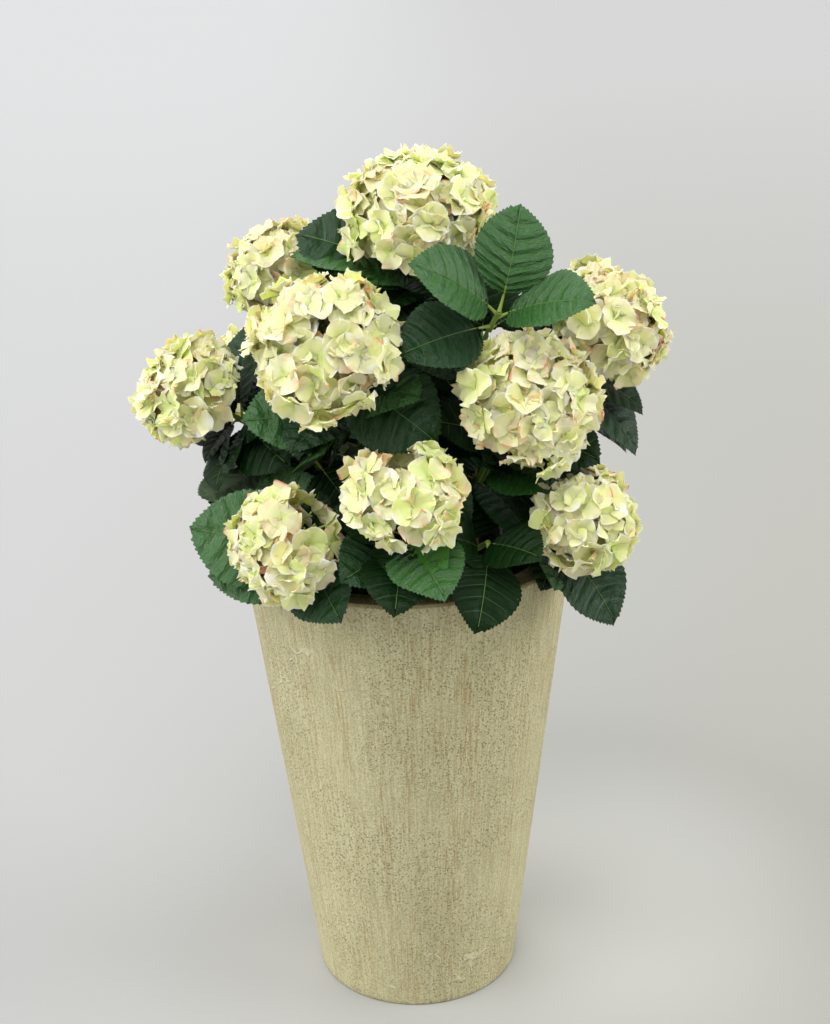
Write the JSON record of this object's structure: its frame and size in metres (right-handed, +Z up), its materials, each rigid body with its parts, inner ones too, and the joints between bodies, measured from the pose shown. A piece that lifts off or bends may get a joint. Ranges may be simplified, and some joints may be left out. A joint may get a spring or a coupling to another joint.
{
  "type": "artificial hydrangea shrub in a tall tapered planter",
  "caption": "Mophead hydrangea of silk and wire: woody canes with leafy shoots and round flower heads, standing in a tall, round, tapered planter.",
  "frame": {"origin": "middle of the planter's flat underside", "axes": "+Z up along the planter's axis, -Y towards the front, +X to the right seen from the front"},
  "size_m": [0.5929, 0.5409, 1.011],
  "materials": {
    "planter": "matt, brushed upright, with fine pits and hairlines",
    "fill": "rough and dark",
    "cane": "matt bark",
    "leaf": "waxed satin leaf cloth",
    "bloom": "matt silk"
  },
  "bodies": {
    "root": {"planter": "planter", "planting_fill": "fill", "cane_crest": "cane", "leaves_crest": "leaf", "bloom_crest": "bloom", "cane_left_rear": "cane", "leaves_left_rear": "leaf", "bloom_left_rear": "bloom", "cane_left_front": "cane", "leaves_left_front": "leaf", "bloom_left_front": "bloom", "cane_left_side": "cane", "leaves_left_side": "leaf", "bloom_left_side": "bloom", "cane_right_rear": "cane", "leaves_right_rear": "leaf", "bloom_right_rear": "bloom", "cane_right_front": "cane", "leaves_right_front": "leaf", "bloom_right_front": "bloom", "cane_low_centre": "cane", "leaves_low_centre": "leaf", "bloom_low_centre": "bloom", "cane_low_left": "cane", "leaves_low_left": "leaf", "bloom_low_left": "bloom", "cane_low_right": "cane", "leaves_low_right": "leaf", "bloom_low_right": "bloom", "cane_fan": "cane", "leaves_fan": "leaf", "cane_rim_front": "cane", "leaves_rim_front": "leaf", "cane_left_inner": "cane", "leaves_left_inner": "leaf", "cane_heart_left": "cane", "leaves_heart_left": "leaf", "cane_heart_right": "cane", "leaves_heart_right": "leaf", "cane_heart_back": "cane", "leaves_heart_back": "leaf", "cane_back_high": "cane", "leaves_back_high": "leaf", "bloom_back_high": "bloom", "cane_back_left": "cane", "leaves_back_left": "leaf", "bloom_back_left": "bloom", "cane_back_right": "cane", "leaves_back_right": "leaf", "bloom_back_right": "bloom", "cane_back_middle": "cane", "leaves_back_middle": "leaf", "bloom_back_middle": "bloom", "cane_back_low": "cane", "leaves_back_low": "leaf", "bloom_back_low": "bloom", "cane_back_leafy": "cane", "leaves_back_leafy": "leaf"}
  },
  "joints": []
}
